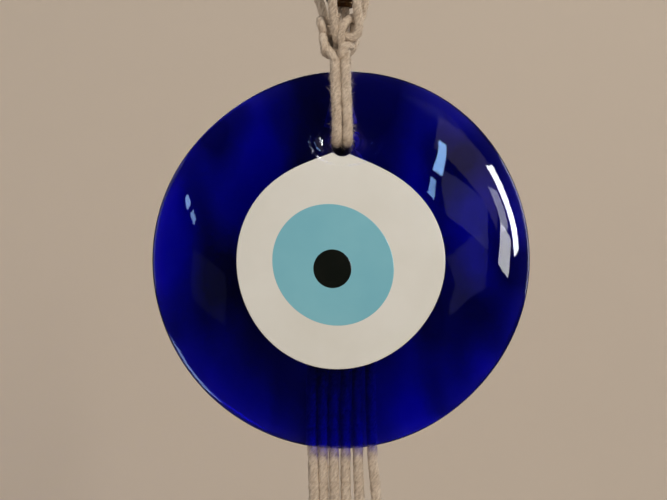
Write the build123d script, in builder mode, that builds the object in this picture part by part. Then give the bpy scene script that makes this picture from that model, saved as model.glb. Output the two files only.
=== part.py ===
from build123d import *
import os
from math import cos, exp, pi, radians, sin, sqrt, tan

# Evil eye ornament: a cast glass disc with an inlaid eye, hung by a knotted cotton hanger.
# Millimetres. +Z is up and +X to the viewer's right; the eye faces -Y. The origin is where a
# hook carries the ring: the lowest point of the ring's inner wall at its top.
# Heights above the eye are written as eye_z + height, from the centre of the glass disc.

os.makedirs("parts", exist_ok=True)

# Cotton cord
cord_r = 1.4  # a soft 3 mm cord, slightly pulled down
squeezed_r = 1.15  # the two core strands where the bead squeezes them
edge_bend = 3.0  # about one cord's width, where they turn over the edges of the hole
edge_room = 8.0  # arcs with less room than this are the turns over those edges
joint_gap = 0.3  # left between pieces that move against each other

# Ring
wire_r = 1.25
ring_r = 12.0  # centreline of the wire
ring_z = -(ring_r - wire_r)
hook_z = ring_z - ring_r  # centre of the wire at the bottom, where the cords hang
loop_r = 3.7  # centreline of each cord's turn over the wire
loop_pitch = 3.1

# Glass disc
eye_z = -135.0
eye_y = -0.70  # puts the pendant's centre of mass under the cords
disc_r = 55.0
front_y = -4.5 + eye_y
back_y = 4.5 + eye_y
rim_corner = 1.9
dome_power = 3.2  # how late the front falls away to the rim
layer_y = back_y + cord_r + joint_gap  # the strands that hang behind the glass

# Cord hole and the pressed funnel in front of it
hole_x = 0.3
hole_z = eye_z + 33.2
hole_r = 3.2
funnel_r = 8.4
funnel_depth = 3.0
back_flare = 0.9

# Eye layers
white_x, white_z, white_r = -0.36, eye_z - 1.1, 30.1
white_wave = 0.4  # how far the poured edge is out of round
tip_rise, tip_fall = 3.4, 11.0  # the drop's point: height and how many degrees it fades over
white_depth = 2.4
iris_x, iris_z = -2.32, eye_z - 1.37
iris_long, iris_short = 18.3, 16.95
iris_depth = 1.4
pupil_x, pupil_z, pupil_r = -2.53, eye_z - 2.5, 5.67
pupil_depth = 0.8

# Hanger, from the ring down
wrap_top, wrap_bottom = eye_z + 104.0, eye_z + 95.0
wrap_half_width, wrap_half_depth = 6.2, 4.7
row_pitch, row_y = 2.95, 1.5  # the six strands as two rows of three
upper_top, upper_bottom = eye_z + 89.4, eye_z + 81.4
upper_half_width, upper_half_depth = 6.9, 5.0
bead_z, bead_r, bead_height = eye_z + 76.95, 4.5, 7.5
bead_low, bead_high = bead_z - bead_height / 2, bead_z + bead_height / 2
bead_rim_r = 3.2
bead_hole_r = 2.55
core_x = 1.2
sway_z, sway_r = eye_z + 64.5, 7.7
closing_half_depth = 4.6
swing_z, swing_r = eye_z + 57.2, 4.5
knot_floor = 3.0  # the closing knot ends this far above that axis

# Knot behind the glass and the fringe below it
back_top, back_bottom = eye_z + 18.4, eye_z + 10.0
back_half_width, back_half_depth = 9.9, 2.6
fringe_z = back_bottom - joint_gap - 0.1 - cord_r  # axis the fringe turns on
end_knot_half = 2.9
tip_length, tip_r = 9.0, 2.3

AXIS_X, AXIS_Y = (1, 0, 0), (0, 1, 0)


def save(builder, name):
    """Labels a finished piece and writes its STEP."""
    builder.part.label = name
    export_step(builder.part, f"parts/{name}.step")


def above(x, y, height):
    """A point at a height over the centre of the eye."""
    return (x, y, eye_z + height)


def bend_radii(route):
    """The largest arc that each corner's two runs leave room for."""
    points = [Vector(*p) for p in route]
    radii = []
    for before, corner, after in zip(points, points[1:], points[2:]):
        one, two = corner - before, after - corner
        half_turn = radians(one.get_angle(two)) / 2
        radii.append(0.45 * min(one.length, two.length) / tan(half_turn))
    return radii


def lay_cord(route, edge_bend=None):
    """Sweeps a round cord along a route inside the open part; gives its length and radii.

    A corner whose runs leave room for less than edge_room is one round an edge of the glass.
    """
    radii = bend_radii(route)
    if edge_bend is not None:
        radii = [min(r, edge_bend) if r < edge_room else r for r in radii]
    with BuildLine() as path:
        FilletPolyline(*route, radius=radii)
    way = path.wire()
    with BuildSketch(Plane(way @ 0, z_dir=way % 0)) as section:
        Circle(cord_r)
    sweep(section.sketch, path=way)
    return way.length, radii


def report_cord(name, builder, length, radii):
    """Prints a cord's length, its volume against section times length, and its bend radii."""
    whole = pi * cord_r**2 * length
    share = builder.part.volume / whole
    print(f"{name}: {length:.1f} mm, volume {share:.3f}, radii {[round(r, 1) for r in radii]}")


def polar_point(radius, azimuth, x, z):
    """A point of an outline on the XZ plane, by radius and degrees clockwise from straight up."""
    return (x + radius * sin(radians(azimuth)), z + radius * cos(radians(azimuth)))


def white_radius(azimuth):
    """Radius of the white drop: a circle, a faint three-sided wave, and a point at the top."""
    off_top = min(azimuth % 360, 360 - azimuth % 360)
    wave = white_wave * cos(radians(3 * (azimuth - 75)))
    return white_r + wave + tip_rise * exp(-off_top / tip_fall)


def dome_y(radius):
    """The poured front: a superellipse from the middle of the face out to the rim."""
    height = back_y - rim_corner - front_y
    return front_y + height * (1 - sqrt(1 - (radius / disc_r) ** dome_power))


# ---- Ring: the fixed piece ----
with BuildPart() as hanging_ring:
    with BuildSketch(Plane.YZ):
        with Locations((0, ring_z + ring_r)):
            Circle(wire_r)
    revolve(axis=Axis((0, 0, ring_z), AXIS_Y), revolution_arc=360)
save(hanging_ring, "hanging_ring")

# ---- Three folded cords over the ring, and the wrap that gathers them ----
for name, x in (("left", -loop_pitch), ("middle", 0.0), ("right", loop_pitch)):
    with BuildPart() as loop:
        with BuildSketch(Plane.XY.offset(hook_z)):
            with Locations((x, loop_r)):
                Circle(cord_r)
        revolve(axis=Axis((0, 0, hook_z), AXIS_X), revolution_arc=180)
        for side in (-1, 1):
            lay_cord([
                (x, side * row_y, wrap_top - 1),
                (x, side * loop_r, wrap_top + 3.4),
                (x, side * loop_r, hook_z),
            ])
        with Locations((0, 0, wrap_top - 5)):
            Box(40, 40, 10, mode=Mode.SUBTRACT)
    save(loop, f"{name}_ring_loop")

with BuildPart() as gathering_wrap:
    with BuildSketch(Plane.XY.offset(wrap_bottom)):
        Ellipse(wrap_half_width, wrap_half_depth)
    extrude(amount=wrap_top - wrap_bottom)
    fillet(gathering_wrap.edges(), radius=0.8)
save(gathering_wrap, "gathering_wrap")

# ---- Neck: six strands between the wrap and the upper knot ----
with BuildPart() as neck_strands:
    with BuildSketch(Plane.XY.offset(upper_top)):
        with GridLocations(row_pitch, 2 * row_y, 3, 2):
            Circle(cord_r)
    extrude(amount=wrap_bottom - upper_top - joint_gap)
save(neck_strands, "neck_strands")

with BuildPart() as upper_knot:
    with BuildSketch(Plane.XY.offset(upper_bottom)):
        RectangleRounded(2 * upper_half_width, 2 * upper_half_depth, 3)
    extrude(amount=upper_top - upper_bottom)
    fillet(upper_knot.faces().filter_by(Axis.Z).edges(), radius=1.2)
save(upper_knot, "upper_knot")

# ---- Strands beside the bead, cut to the arc that the closing knot sways on ----
side_routes = {
    "left_side_strands": [
        [above(-3.9, 1.6, 82.4), above(-7.4, 0.9, 77.6), above(-6.6, 0.3, 72.0), above(-4.9, 0.0, 67.0)],
        [above(-2.0, -2.7, 82.4), above(-3.8, -7.4, 77.8), above(-2.9, -5.7, 72.6), above(-1.6, -2.6, 69.5)],
    ],
    "right_side_strands": [
        [above(3.9, 1.6, 82.4), above(7.1, 1.0, 77.4), above(6.7, 0.3, 72.2), above(5.0, 0.1, 67.0)],
        [above(2.4, -2.6, 82.4), above(4.5, -6.3, 77.6), above(4.1, -5.0, 72.6), above(2.4, -2.4, 69.5)],
    ],
}
for name, routes in side_routes.items():
    with BuildPart() as side_strands:
        for route in routes:
            lay_cord(route)
        with Locations(Plane((0, 0, sway_z), z_dir=AXIS_Y)):
            Cylinder(sway_r + joint_gap, 30, mode=Mode.SUBTRACT)
        with Locations((0, 0, upper_bottom + 5)):
            Box(40, 40, 10, mode=Mode.SUBTRACT)
    save(side_strands, name)

with BuildPart() as core_strands:
    with BuildSketch(Plane.XY.offset(upper_bottom)):
        with GridLocations(2 * core_x, 0, 2, 1):
            Circle(squeezed_r)
    extrude(amount=-(upper_bottom - sway_z))
    with Locations(Plane((0, 0, sway_z), z_dir=AXIS_Y)):
        Cylinder(sway_r + joint_gap, 30, mode=Mode.SUBTRACT)
save(core_strands, "core_strands")

# ---- Bead: a barrel with a wide hole, free to spin on the core strands ----
with BuildPart() as bead:
    with BuildSketch(Plane.XZ):
        with BuildLine():
            Spline((bead_rim_r, bead_low), (bead_r, bead_z), (bead_rim_r, bead_high))
            Line((bead_rim_r, bead_high), (bead_hole_r, bead_high))
            Line((bead_hole_r, bead_high), (bead_hole_r, bead_low))
            Line((bead_hole_r, bead_low), (bead_rim_r, bead_low))
        make_face()
    revolve(axis=Axis.Z)
save(bead, "bead")

# ---- Closing knot: round on top for the sway, hollowed below for the pendant's swing ----
with BuildPart() as closing_knot:
    with BuildSketch(Plane.XZ.offset(-closing_half_depth)):
        with Locations((0, sway_z)):
            Circle(sway_r)
    extrude(amount=2 * closing_half_depth)
    with Locations(Plane((0, 0, swing_z), z_dir=AXIS_X)):
        Cylinder(swing_r + 0.4, 30, mode=Mode.SUBTRACT)
    with Locations((0, 0, swing_z - 4)):
        Box(30, 30, 2 * (4 + knot_floor), mode=Mode.SUBTRACT)
save(closing_knot, "closing_knot")

# ---- Glass: the outline of half a section, turned about the eye's axis ----
with BuildPart() as full_disc:
    with BuildSketch(Plane.XY):
        with BuildLine():
            Spline(
                *[(r, dome_y(r)) for r in (0, 14, 27, 38, 46, 51, 54)],
                (disc_r, dome_y(disc_r)),
                tangents=[(1, 0), (0, 1)],
            )
            RadiusArc((disc_r, back_y - rim_corner), (disc_r - rim_corner, back_y), -rim_corner)
            Line((disc_r - rim_corner, back_y), (0, back_y))
            Line((0, back_y), (0, front_y))
        make_face()
    revolve(axis=Axis.Y)
disc_blank = Location((0, 0, eye_z)) * full_disc.part

with BuildPart() as hole_tool:
    with BuildSketch(Plane.XY):
        with BuildLine():
            throat_y = front_y + 1.0 + funnel_depth
            Line((0, front_y - 2), (funnel_r, front_y - 2))
            Line((funnel_r, front_y - 2), (funnel_r, front_y + 1.0))
            EllipticalCenterArc(
                (funnel_r, throat_y), funnel_r - hole_r, funnel_depth, start_angle=180, arc_size=90
            )
            Line((hole_r, throat_y), (hole_r, back_y - back_flare))
            Line((hole_r, back_y - back_flare), (hole_r + back_flare, back_y))
            Line((hole_r + back_flare, back_y), (hole_r + back_flare, back_y + 2))
            Line((hole_r + back_flare, back_y + 2), (0, back_y + 2))
            Line((0, back_y + 2), (0, front_y - 2))
        make_face()
    revolve(axis=Axis.Y)
cord_hole = Location((hole_x, 0, hole_z)) * hole_tool.part


# The columns behind each layer's outline, from before the glass to the layer's floor in it
drop_steps = 48
drop_outline = [
    polar_point(white_radius(360 * i / drop_steps), 360 * i / drop_steps, white_x, white_z)
    for i in range(drop_steps + 1)
]
with BuildPart() as white_column:
    with BuildSketch(Plane.XZ.offset(-(front_y + white_depth))):
        with BuildLine():
            Spline(*drop_outline)
        make_face()
    extrude(amount=white_depth + 3)

with BuildPart() as iris_column:
    with BuildSketch(Plane.XZ.offset(-(front_y + iris_depth))):
        with Locations((iris_x, iris_z)):
            Ellipse(iris_long, iris_short, rotation=-45)
    extrude(amount=iris_depth + 3)

with BuildPart() as pupil_column:
    with BuildSketch(Plane.XZ.offset(-(front_y + pupil_depth))):
        with Locations((pupil_x, pupil_z)):
            Circle(pupil_r)
    extrude(amount=pupil_depth + 3)

with BuildPart() as glass_disc:
    add(disc_blank)
    add(cord_hole, mode=Mode.SUBTRACT)
    add(white_column.part, mode=Mode.SUBTRACT)
save(glass_disc, "glass_disc")

with BuildPart() as white_drop:
    add(disc_blank)
    add(cord_hole, mode=Mode.SUBTRACT)
    add(white_column.part, mode=Mode.INTERSECT)
    add(iris_column.part, mode=Mode.SUBTRACT)
save(white_drop, "white_drop")

with BuildPart() as blue_iris:
    add(disc_blank)
    add(iris_column.part, mode=Mode.INTERSECT)
    add(pupil_column.part, mode=Mode.SUBTRACT)
save(blue_iris, "blue_iris")

with BuildPart() as black_pupil:
    add(disc_blank)
    add(pupil_column.part, mode=Mode.INTERSECT)
save(black_pupil, "black_pupil")

# ---- Two strands down the front, through the hole and down to the knot behind ----
cord_level = hole_z + 0.6 - eye_z  # the glass hangs on them, so they lie high in the hole
front_routes = {
    "left_front_strand": [
        above(-1.85, -2.2, 62.5), above(-1.7, -3.7, 55.0), above(-1.25, -5.9, 44.5),
        above(-1.15, -5.6, cord_level), above(-1.15, layer_y, cord_level), above(-1.62, layer_y, 17.4),
    ],
    "right_front_strand": [
        above(1.15, -2.2, 62.5), above(1.25, -3.7, 55.0), above(1.65, -5.9, 44.5),
        above(1.75, -5.6, cord_level), above(1.75, layer_y, cord_level), above(1.62, layer_y, 17.4),
    ],
}
# Everything above the axis the pendant swings on and outside the hub that its strand tops make
with BuildPart() as above_hub:
    with Locations((0, 0, swing_z + 15)):
        Box(40, 40, 30)
    with Locations(Plane((0, 0, swing_z), z_dir=AXIS_X)):
        Cylinder(swing_r, 50, mode=Mode.SUBTRACT)

# The block that trims their lower ends level with the top of the back knot
with BuildPart() as below_back_top:
    with Locations((0, layer_y, back_top - 5)):
        Box(40, 24, 10)

for name, route in front_routes.items():
    with BuildPart() as front_strand:
        length, radii = lay_cord(route, edge_bend)
        add(above_hub.part, mode=Mode.SUBTRACT)
        add(below_back_top.part, mode=Mode.SUBTRACT)
    report_cord(name, front_strand, length, radii)
    save(front_strand, name)

# ---- Four strands down behind the glass: two layers behind the front pair, spread below the hole ----
knot_y = layer_y + back_half_depth - cord_r  # the middle of the back knot
inner_route = [
    (1.45, 2.5, 63.0), (1.45, 3.1, 59.0), (1.4, layer_y, 53.5), (1.4, layer_y, 40.5), (1.4, 8.5, 35.5),
    (2.1, 8.6, 30.0), (4.86, knot_y, 17.4),
]
outer_route = [
    (1.5, 6.1, 62.0), (1.5, 6.5, 58.4), (1.4, 8.9, 52.5), (1.5, 8.6, 45.0), (4.4, 8.8, 37.0),
    (5.1, 8.7, 30.0), (8.1, knot_y, 17.4),
]
for name, route, side in (
    ("outer_left", outer_route, -1), ("inner_left", inner_route, -1),
    ("inner_right", inner_route, 1), ("outer_right", outer_route, 1),
):
    with BuildPart() as back_strand:
        length, radii = lay_cord([above(side * x, y, height) for x, y, height in route])
        add(above_hub.part, mode=Mode.SUBTRACT)
        add(below_back_top.part, mode=Mode.SUBTRACT)
    report_cord(name, back_strand, length, radii)
    save(back_strand, f"{name}_back_strand")

with BuildPart() as back_knot:
    with BuildSketch(Plane.XY.offset(back_bottom)):
        with Locations((0, knot_y)):
            RectangleRounded(2 * back_half_width, 2 * back_half_depth, 2.2)
    extrude(amount=back_top - back_bottom)
    fillet(back_knot.faces().filter_by(Axis.Z).edges(), radius=0.9)
save(back_knot, "back_knot")

# ---- Fringe: six free strands, each (x, offset towards the back, height over the eye) ----
# They hang in one layer behind the glass, spread below it, and end at staggered heights.
fringe_routes = [
    [(-8.10, 0.0, None), (-8.60, 0.0, 2), (-8.25, 0.0, -17), (-8.70, 0.0, -36), (-8.35, 0.1, -55),
     (-7.75, -0.5, -73), (-8.10, -1.5, -90), (-8.60, -1.9, -98), (-8.60, -1.9, -104.0)],
    [(-4.86, 0.0, None), (-5.25, 0.0, 3), (-5.05, 0.0, -16), (-5.50, 0.0, -36), (-5.35, 0.0, -55),
     (-5.05, 0.5, -74), (-5.45, 1.8, -93), (-5.20, 2.3, -102), (-5.20, 2.3, -108.5)],
    [(-1.62, 0.0, None), (-1.75, 0.0, 1), (-2.10, 0.0, -18), (-2.05, 0.0, -37), (-2.20, 0.1, -56),
     (-1.75, -0.4, -74), (-2.05, -1.5, -90), (-1.90, -1.9, -97), (-1.90, -1.9, -103.0)],
    [(1.62, 0.0, None), (1.35, 0.0, 3), (1.60, 0.0, -15), (1.25, 0.0, -36), (1.30, 0.0, -56),
     (1.45, 0.6, -75), (1.20, 1.8, -94), (1.50, 2.3, -103), (1.50, 2.3, -109.5)],
    [(4.86, 0.0, None), (4.60, 0.0, 2), (4.90, 0.0, -17), (4.60, 0.0, -36), (4.80, 0.1, -55),
     (5.60, -0.4, -74), (5.80, -1.4, -91), (5.50, -1.9, -100), (5.50, -1.9, -106.5)],
    [(8.10, 0.0, None), (7.95, 0.0, 1), (8.45, 0.0, -18), (8.45, 0.05, -37), (8.90, 0.0, -55),
     (10.80, 0.5, -73), (11.00, 1.7, -90), (10.20, 2.1, -97), (10.20, 2.1, -102.5)],
]

with BuildPart() as end_knot_shape:
    Sphere(sqrt(end_knot_half**2 + cord_r**2))
    with Locations((0, 0, end_knot_half + 5), (0, 0, -end_knot_half - 5)):
        Box(20, 20, 10, mode=Mode.SUBTRACT)

with BuildPart() as frayed_tip_shape:
    with Locations((0, 0, -tip_length / 2)):
        Cone(tip_r, cord_r, tip_length)

for number, points in enumerate(fringe_routes, start=1):
    route = [
        (x, layer_y + offset, fringe_z if height is None else eye_z + height)
        for x, offset, height in points
    ]
    end_x, end_y, end_z = route[-1]
    with BuildPart() as fringe_strand:
        length, radii = lay_cord(route)
        with Locations(route[0]):
            Sphere(cord_r)
    report_cord(f"fringe {number}", fringe_strand, length, radii)
    save(fringe_strand, f"fringe_strand_{number}")
    with BuildPart() as end_knot:
        with Locations((end_x, end_y, end_z - end_knot_half)):
            add(end_knot_shape.part)
    save(end_knot, f"end_knot_{number}")
    with BuildPart() as frayed_tip:
        with Locations((end_x, end_y, end_z - 2 * end_knot_half)):
            add(frayed_tip_shape.part)
    save(frayed_tip, f"frayed_tip_{number}")

# ---- Where the pendant's weight hangs ----
glass_volume = sum(piece.part.volume for piece in (glass_disc, white_drop, blue_iris, black_pupil))
moment = sum(
    piece.part.volume * piece.part.center().Y
    for piece in (glass_disc, white_drop, blue_iris, black_pupil)
)
print(f"glass {glass_volume / 1000:.1f} cm3, centre of mass at y = {moment / glass_volume:.2f} mm")
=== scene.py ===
import bpy
import numpy as np
from mathutils import Matrix, Vector


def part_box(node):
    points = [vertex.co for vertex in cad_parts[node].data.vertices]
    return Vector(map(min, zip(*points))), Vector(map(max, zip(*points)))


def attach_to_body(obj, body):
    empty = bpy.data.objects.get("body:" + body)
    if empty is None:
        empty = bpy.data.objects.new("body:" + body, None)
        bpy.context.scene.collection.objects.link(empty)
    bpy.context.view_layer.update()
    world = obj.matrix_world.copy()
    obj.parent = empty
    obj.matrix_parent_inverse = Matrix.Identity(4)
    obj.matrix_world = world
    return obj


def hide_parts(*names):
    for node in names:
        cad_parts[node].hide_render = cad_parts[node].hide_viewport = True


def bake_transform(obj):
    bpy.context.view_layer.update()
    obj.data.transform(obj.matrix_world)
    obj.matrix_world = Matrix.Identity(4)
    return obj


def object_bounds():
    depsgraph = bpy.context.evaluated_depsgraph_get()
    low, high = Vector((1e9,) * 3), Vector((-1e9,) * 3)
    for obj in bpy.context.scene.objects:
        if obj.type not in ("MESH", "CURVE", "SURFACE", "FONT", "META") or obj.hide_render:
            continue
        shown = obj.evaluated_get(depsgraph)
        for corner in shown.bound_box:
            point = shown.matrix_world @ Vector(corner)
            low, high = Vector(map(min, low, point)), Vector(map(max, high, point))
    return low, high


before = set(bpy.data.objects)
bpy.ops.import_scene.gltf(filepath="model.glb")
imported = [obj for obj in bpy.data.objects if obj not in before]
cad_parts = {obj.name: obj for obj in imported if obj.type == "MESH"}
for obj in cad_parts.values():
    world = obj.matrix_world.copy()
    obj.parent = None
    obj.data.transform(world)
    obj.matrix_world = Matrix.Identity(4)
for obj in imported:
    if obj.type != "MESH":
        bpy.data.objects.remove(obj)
cad_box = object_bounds()

# Evil eye ornament: a poured cobalt glass disc with an inlaid eye, on a knotted cotton hanger.
# Metres in the frame's own axes. Routes and outlines are written in millimetres, with heights
# taken over the centre of the eye, and placed() puts them into the frame.

MM = 0.001
glass_low, glass_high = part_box("glass_disc")
EYE_Z = (glass_low.z + glass_high.z) / 2
DISC_R = (glass_high.x - glass_low.x) / 2
FRONT_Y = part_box("black_pupil")[0].y
BACK_Y = glass_high.y
LAYER_Y = 5.5  # the strands that hang behind the glass, in millimetres
CORD_R = 1.4

VIEW_WIDTH = 0.1938  # what the camera takes in at the disc
VIEW_DISTANCE = 0.6
VIEW_X = -2.2 * MM
VIEW_Z = EYE_Z + 2.9 * MM


def placed(route):
    """A route of (x, y, height over the eye) in millimetres, as points of the frame."""
    return np.array(route, float) * MM + (0, 0, EYE_Z)


# ---- Camera ----
camera = bpy.data.objects.new("camera", bpy.data.cameras.new("camera"))
bpy.context.scene.collection.objects.link(camera)
camera.location = (VIEW_X, -VIEW_DISTANCE, VIEW_Z)
camera.rotation_euler = (np.pi / 2, 0, 0)
camera.data.lens = camera.data.sensor_width * VIEW_DISTANCE / VIEW_WIDTH
camera.data.clip_start = 0.01
bpy.context.scene.camera = camera


# ---- Lines and meshes ----
LINE_STEP = 0.45 * MM  # from one ring of a cord's surface to the next


def spaced(line, step):
    """The same line with its points evenly spaced, about step apart."""
    along = np.r_[0, np.cumsum(np.linalg.norm(np.diff(line, axis=0), axis=1))]
    at = np.linspace(0, along[-1], int(np.ceil(along[-1] / step)) + 1)
    return np.stack([np.interp(at, along, line[:, k]) for k in range(3)], axis=1)


def smooth_line(points):
    """The NURBS spline of order 3 that has these control points, read as an even line."""
    curve = bpy.data.curves.new("route", "CURVE")
    curve.dimensions = "3D"
    curve.resolution_u = 20
    spline = curve.splines.new("NURBS")
    spline.points.add(len(points) - 1)
    spline.points.foreach_set("co", np.c_[points, np.ones(len(points))].ravel())
    spline.order_u = 3
    spline.use_endpoint_u = True
    holder = bpy.data.objects.new("route", curve)
    mesh = bpy.data.meshes.new_from_object(holder)
    line = np.empty(3 * len(mesh.vertices))
    mesh.vertices.foreach_get("co", line)
    bpy.data.meshes.remove(mesh)
    bpy.data.objects.remove(holder)
    bpy.data.curves.remove(curve)
    return spaced(line.reshape(-1, 3), LINE_STEP)


def length_of(line):
    """Length of a line of points."""
    return float(np.linalg.norm(np.diff(line, axis=0), axis=1).sum())


def directions(line):
    """Tangent, normal and binormal along a line; the normal is carried on without turning."""
    tangent = np.gradient(line, axis=0)
    tangent /= np.linalg.norm(tangent, axis=1, keepdims=True)
    start = np.cross(tangent[0], (0.0, 1.0, 0.1))
    normal = np.empty_like(tangent)
    last = start / np.linalg.norm(start)
    for k, way in enumerate(tangent):
        last = last - way * (last @ way)
        last = last / np.linalg.norm(last)
        normal[k] = last
    return tangent, normal, np.cross(tangent, normal)


def ring_faces(rows, columns, loop=False):
    """Quads of a grid whose columns run round and close; its rows close too where loop says so."""
    i, j = np.meshgrid(np.arange(rows if loop else rows - 1), np.arange(columns), indexing="ij")
    across, on = (j + 1) % columns, (i + 1) % rows
    corners = (i * columns + j, i * columns + across, on * columns + across, on * columns + j)
    return np.stack(corners, axis=-1).reshape(-1, 4)


def shell(grid, loop=False):
    """Points and faces of a closed surface on a grid, with a fan of triangles over each open end."""
    rows, columns = grid.shape[:2]
    points = grid.reshape(-1, 3)
    faces = ring_faces(rows, columns, loop).tolist()
    if not loop:
        poles = [grid[0].mean(axis=0), grid[-1].mean(axis=0)]
        first, last = len(points), len(points) + 1
        points = np.vstack([points, poles])
        j = np.arange(columns)
        on, end = (j + 1) % columns, (rows - 1) * columns
        faces += np.stack([np.full(columns, first), on, j], axis=1).tolist()
        faces += np.stack([np.full(columns, last), end + j, end + on], axis=1).tolist()
    return points, faces


def make_piece(name, shells, material, yarn=None):
    """A smooth mesh object from one or more shells; yarn is a vector for every point."""
    points, faces, count = [], [], 0
    for some_points, some_faces in shells:
        points.append(some_points)
        faces += [[k + count for k in face] for face in some_faces] if count else some_faces
        count += len(some_points)
    mesh = bpy.data.meshes.new(name)
    mesh.from_pydata(np.vstack(points).tolist(), [], faces)
    mesh.shade_smooth()
    mesh.materials.append(material)
    if yarn is not None:
        layer = mesh.attributes.new("yarn", "FLOAT_VECTOR", "POINT")
        layer.data.foreach_set("vector", np.vstack(yarn).astype(np.float32).ravel())
    piece = bpy.data.objects.new(name, mesh)
    bpy.context.scene.collection.objects.link(piece)
    return piece


# ---- Node helpers ----
def new_material(name):
    """A material with its nodes and its Principled shader."""
    material = bpy.data.materials.new(name)
    material.use_nodes = True
    nodes = material.node_tree.nodes
    return material, nodes, nodes["Principled BSDF"]


def new_group(name, inputs, outputs):
    """A shader node group with (name, kind, default) inputs and (name, kind) outputs."""
    group = bpy.data.node_groups.new(name, "ShaderNodeTree")
    for label, kind, default in inputs:
        socket = group.interface.new_socket(name=label, in_out="INPUT", socket_type=f"NodeSocket{kind}")
        if default is not None:
            socket.default_value = default
    for label, kind in outputs:
        group.interface.new_socket(name=label, in_out="OUTPUT", socket_type=f"NodeSocket{kind}")
    given, out = (group.nodes.new(f"NodeGroup{way}") for way in ("Input", "Output"))
    return group, given.outputs, out.inputs


def put_group(nodes, group, **values):
    """A copy of a node group in a material with its own values."""
    node = nodes.new("ShaderNodeGroup")
    node.node_tree = group
    for label, value in values.items():
        node.inputs[label.replace("_", " ")].default_value = value
    return node


def give(socket, value):
    """Links a socket to another socket, or sets it to a plain value."""
    if isinstance(value, bpy.types.NodeSocket):
        socket.id_data.links.new(value, socket)
    else:
        socket.default_value = value


def fed(value, kind, label):
    """A new node in the tree that a value comes from, with the value linked to one of its inputs."""
    node = value.id_data.nodes.new(kind)
    give(node.inputs[label], value)
    return node


def noise(vector, scale, detail=2.0, rough=0.5):
    """A noise texture on a vector."""
    node = fed(vector, "ShaderNodeTexNoise", "Vector")
    for label, number in (("Scale", scale), ("Detail", detail), ("Roughness", rough)):
        node.inputs[label].default_value = number
    return node.outputs["Fac"]


def stretched(vector, scale):
    """A vector scaled differently along each axis."""
    node = fed(vector, "ShaderNodeMapping", "Vector")
    node.inputs["Scale"].default_value = scale
    return node.outputs["Vector"]


def sloped(value, low, high, bottom=0.0, top=1.0):
    """A value mapped from low..high to bottom..top and held there."""
    node = fed(value, "ShaderNodeMapRange", "Value")
    for label, number in zip(("From Min", "From Max", "To Min", "To Max"), (low, high, bottom, top)):
        node.inputs[label].default_value = number
    return node.outputs["Result"]


def mixed(factor, one, two):
    """A colour between two, by a factor; each colour is a socket or a plain colour."""
    node = factor.id_data.nodes.new("ShaderNodeMix")
    node.data_type = "RGBA"
    give(node.inputs["Factor"], factor)
    for label, value in (("A", one), ("B", two)):
        give(next(s for s in node.inputs if s.name == label and s.type == "RGBA"), value)
    return next(s for s in node.outputs if s.type == "RGBA")


def combined(kind, one, two):
    """One sum, product or other result of two values, of which at least one is a socket."""
    tree = next(value.id_data for value in (one, two) if isinstance(value, bpy.types.NodeSocket))
    node = tree.nodes.new("ShaderNodeMath")
    node.operation = kind
    give(node.inputs[0], one)
    give(node.inputs[1], two)
    return node.outputs["Value"]


def distance_from(vector, point):
    """How far a vector is from a fixed point."""
    node = fed(vector, "ShaderNodeVectorMath", 0)
    node.operation = "DISTANCE"
    node.inputs[1].default_value = point
    return node.outputs["Value"]


def bump(height, distance, strength, shader):
    """A bump from a height, fed to a shader's normal."""
    node = fed(height, "ShaderNodeBump", "Height")
    node.inputs["Distance"].default_value = distance
    node.inputs["Strength"].default_value = strength
    give(shader.inputs["Normal"], node.outputs["Normal"])


# ---- Effects that several materials share ----
# Yarn: fine fibres laid along the cord's own twist, knots of shorter fibre, and uneven tone.
yarn_group, given, out = new_group(
    "yarn_fibres",
    [("Yarn", "Vector", None), ("Place", "Vector", None),
     ("Pale", "Color", (0.7, 0.6, 0.5, 1)), ("Deep", "Color", (0.4, 0.3, 0.2, 1))],
    [("Color", "Color"), ("Height", "Float")],
)
fibre = noise(stretched(given["Yarn"], (1, 1, 0.16)), 5200, 3.0, 0.65)
stitch = noise(stretched(given["Yarn"], (1, 1, 0.6)), 1700, 2.0, 0.6)
patch = noise(given["Place"], 260, 2.0)
tone = combined("MULTIPLY", fibre, 0.34)
tone = combined("ADD", tone, combined("MULTIPLY", stitch, 0.58))
tone = combined("ADD", tone, combined("MULTIPLY", patch, 0.26))
give(out["Color"], mixed(sloped(tone, 0.46, 0.70), given["Deep"], given["Pale"]))
give(out["Height"], combined("ADD", combined("MULTIPLY", fibre, 0.6), combined("MULTIPLY", stitch, 1.0)))

FINISH = [("Color", "Color"), ("Roughness", "Float"), ("Height", "Float")]

# Poured glass: slow clouding of the tone, a little uneven polish, and a faint skin ripple.
pour_group, given, out = new_group(
    "poured_skin",
    [("Place", "Vector", None), ("Tone", "Color", (0.5, 0.5, 0.5, 1)),
     ("Cloud", "Color", (0.4, 0.4, 0.4, 1)), ("Polish", "Float", 0.1)],
    FINISH,
)
slow = noise(given["Place"], 55, 3.0, 0.55)
fine = noise(given["Place"], 900, 2.0, 0.6)
give(out["Color"], mixed(sloped(slow, 0.35, 0.75), given["Tone"], given["Cloud"]))
give(out["Roughness"], combined("MULTIPLY", given["Polish"], sloped(fine, 0.3, 0.8, 0.7, 1.5)))
give(out["Height"], combined("ADD", slow, combined("MULTIPLY", fine, 0.04)))

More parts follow.
